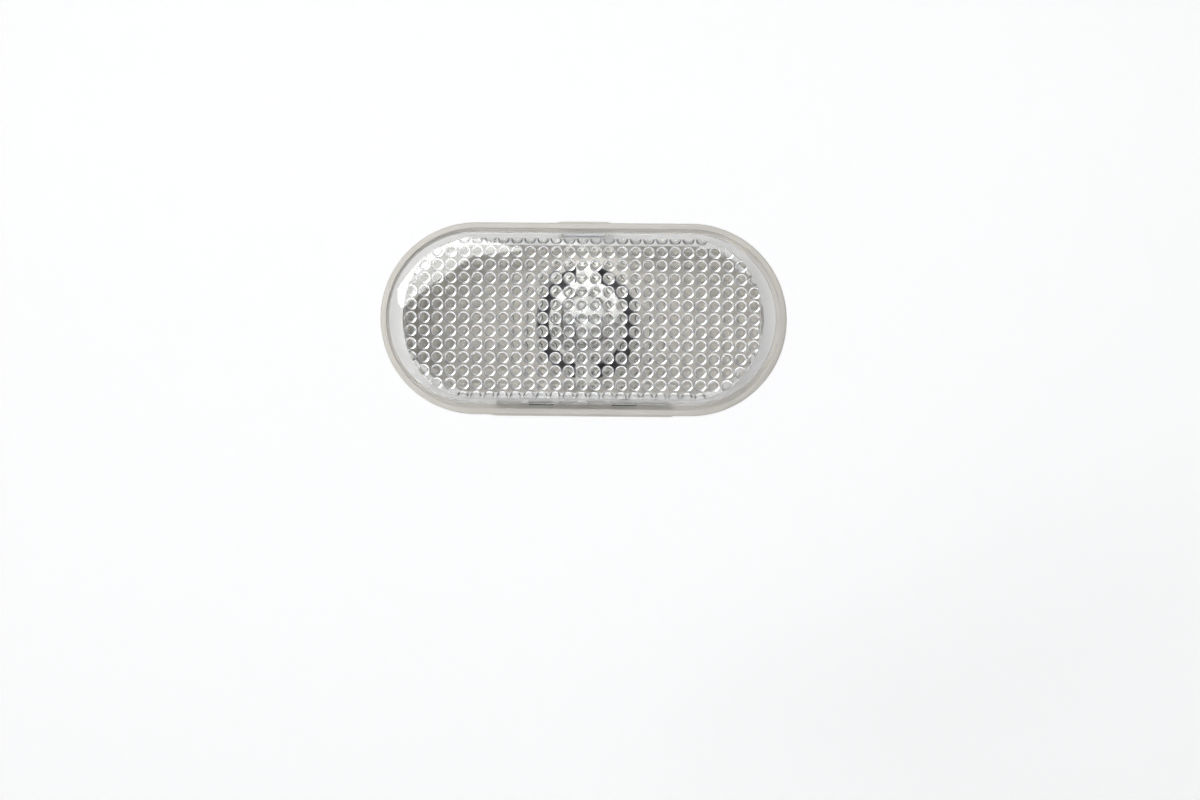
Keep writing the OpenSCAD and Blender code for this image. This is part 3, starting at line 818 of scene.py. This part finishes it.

# %% [markdown]
# ### Pale plastic
# The housing's plastic lets some light in, which comes out again beside the spot where it went in, so
# its shadows are soft. Where the lens's side wall is welded on, the seat is painted whiter: painted
# light, in place of the light that the clear wall carries down onto it. The same distance from the
# stadium's spine that made the lens finds that seat.

# %% Finish of the housing
LIT_SEAT_INSET = 0.2 * MM                          # the painted light on the seat ends this far inside the lens wall's foot
# how far from the seat's plane the painted light reaches
LIT_SEAT_DEPTH = 0.1 * MM


def let_light_in(material, weight, depth):
    """Lets light scatter below the surface, all colours as deep."""
    shader = material.node_tree.nodes["Principled BSDF"]
    shader.inputs["Subsurface Weight"].default_value = weight
    shader.inputs["Subsurface Radius"].default_value = (1.0, 1.0, 1.0)
    shader.inputs["Subsurface Scale"].default_value = depth


def paint_light_on_seat(material, colour):
    """Paints the seat under the lens's side wall lighter: painted light for what the clear wall brings
    there.
    """
    tree = material.node_tree
    shader = tree.nodes["Principled BSDF"]
    plain = shader.inputs["Base Color"].links[0].from_socket
    spot = parts_of(tree, own_place(tree))
    distance = from_spine(tree, spot["X"], spot["Z"], STRAIGHT / 2)
    under_wall = math_node(tree, "LESS_THAN", distance, FOOT_R - LIT_SEAT_INSET)
    off_seat = math_node(tree, "ABSOLUTE", math_node(tree, "SUBTRACT", spot["Y"], SEAT))
    at_seat = math_node(tree, "LESS_THAN", off_seat, LIT_SEAT_DEPTH)
    blend = tree.nodes.new("ShaderNodeMix")
    blend.data_type = "RGBA"
    tree.links.new(math_node(tree, "MULTIPLY", under_wall, at_seat), blend.inputs["Factor"])
    tree.links.new(plain, blend.inputs["A"])
    blend.inputs["B"].default_value = (*colour, 1)
    tree.links.new(blend.outputs["Result"], shader.inputs["Base Color"])


PALE_PLASTIC = solid_material("pale_plastic", (0.635, 0.612, 0.565), 0.42, tone=0.04)
let_light_in(PALE_PLASTIC, 0.5, 1.2 * MM)
# painted light: the seat under the lens wall is lighter than the plastic round it
paint_light_on_seat(PALE_PLASTIC, (0.76, 0.755, 0.745))
print("finish of the housing:", PALE_PLASTIC.name)

# %% [markdown]
# ## The solid pieces
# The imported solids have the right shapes, but their facets show in the rounds. So each is built again
# from its own points and faces, the seams between its facets are joined, and every edge duller than
# a set angle is shaded smooth. A plain copy would keep the solid's stored shading. The new piece
# stands for the solid and moves with the same body.

# %% Copy the solids
LAMP, HOLDER = "lamp_body", "twist_holder"
SAME_POINT = 1e-6                              # metres, below which two points are joined


def smooth_copy(node, body, material):
    """A piece with a solid's own shape, with smooth rounds and sharp edges."""
    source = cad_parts[node]
    corners = [source.matrix_world @ vertex.co for vertex in source.data.vertices]
    faces = [list(face.vertices) for face in source.data.polygons]
    mesh = bpy.data.meshes.new(node + "_moulding")
    mesh.from_pydata(corners, [], faces)
    shape = bmesh.new()
    shape.from_mesh(mesh)
    bmesh.ops.remove_doubles(shape, verts=shape.verts, dist=SAME_POINT)
    shape.to_mesh(mesh)
    shape.free()
    mesh.materials.append(material)
    mesh.shade_smooth()
    mesh.set_sharp_from_angle(angle=SMOOTH_BELOW)
    piece = new_piece(node + "_piece", mesh)
    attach(piece, body)
    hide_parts(node)
    return piece


for node, body, slot, material in (
    ("housing", LAMP, "pale_housing", PALE_PLASTIC),
    ("panel_gasket", LAMP, "foam", FOAM),
    ("spring_clip", LAMP, "spring_steel", STEEL),
    ("bulb_holder", HOLDER, "white_nylon", WHITE_NYLON),
    ("holder_seal", HOLDER, "black_rubber", RUBBER),
    ("terminal_left", HOLDER, "tinned_brass", TINNED),
    ("terminal_right", HOLDER, "tinned_brass", TINNED),
    ("lead_wire_left", HOLDER, "lead_wire", WIRE),
    ("lead_wire_right", HOLDER, "lead_wire", WIRE),
    ("bulb_glass", HOLDER, "bulb_glass", BULB_GLASS),
):
    piece = smooth_copy(node, body, material)
    print(piece.name, len(piece.data.polygons), "faces")

# %% [markdown]
# ## The filament
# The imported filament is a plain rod. The real one is a fine coil of tungsten wire between the two
# wires, so a second small tree winds it: a spiral curve carries a round section.

# %% Tree of the filament
COIL_TURNS = 22
COIL_RADIUS = 0.26 * MM
COIL_WIRE = 0.045 * MM                         # radius of the wire itself
COIL_EXTRA = 0.3 * MM                          # so that both ends reach into the wires


def coil_tree(material):
    """A coil along the x axis, its middle at the origin."""
    sizes = ["Turns", "Radius", "Length", "Wire"]
    tree, given, out = geometry_tree("filament_coil", sizes)
    get = {label: given.outputs[label] for label in sizes}
    spiral = tree.nodes.new("GeometryNodeCurveSpiral")
    spiral.inputs["Resolution"].default_value = 14
    for label, source in (
        ("Rotations", "Turns"), ("Start Radius", "Radius"), ("End Radius", "Radius"),
        ("Height", "Length"),
    ):
        tree.links.new(get[source], spiral.inputs[label])
    section = tree.nodes.new("GeometryNodeCurvePrimitiveCircle")
    section.inputs["Resolution"].default_value = 6
    tree.links.new(get["Wire"], section.inputs["Radius"])
    tube = tree.nodes.new("GeometryNodeCurveToMesh")
    tree.links.new(spiral.outputs[0], tube.inputs["Curve"])
    tree.links.new(section.outputs[0], tube.inputs["Profile Curve"])
    tube.inputs["Fill Caps"].default_value = True
    half = math_node(tree, "MULTIPLY", get["Length"], -0.5)
    centred = moved(tree, tube.outputs[0], place=vector_of(tree, z=half))
    laid = moved(tree, centred, turn=(0, math.pi / 2, 0))
    end_tree(tree, laid, material, out)
    return tree


# %% Wind the filament
rod_low, rod_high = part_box("filament")
coil_mesh = made_by(
    coil_tree(TUNGSTEN),
    bpy.data.meshes.new("empty"),
    "filament_coil",
    {
        "Turns": float(COIL_TURNS),
        "Radius": COIL_RADIUS,
        "Length": rod_high.x - rod_low.x + COIL_EXTRA,
        "Wire": COIL_WIRE,
    },
)
coil_mesh.transform(Matrix.Translation((rod_low + rod_high) / 2))
coil = new_piece("filament_coil", coil_mesh)
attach(coil, HOLDER)
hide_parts("filament")
print("coil:", len(coil_mesh.polygons), "faces")
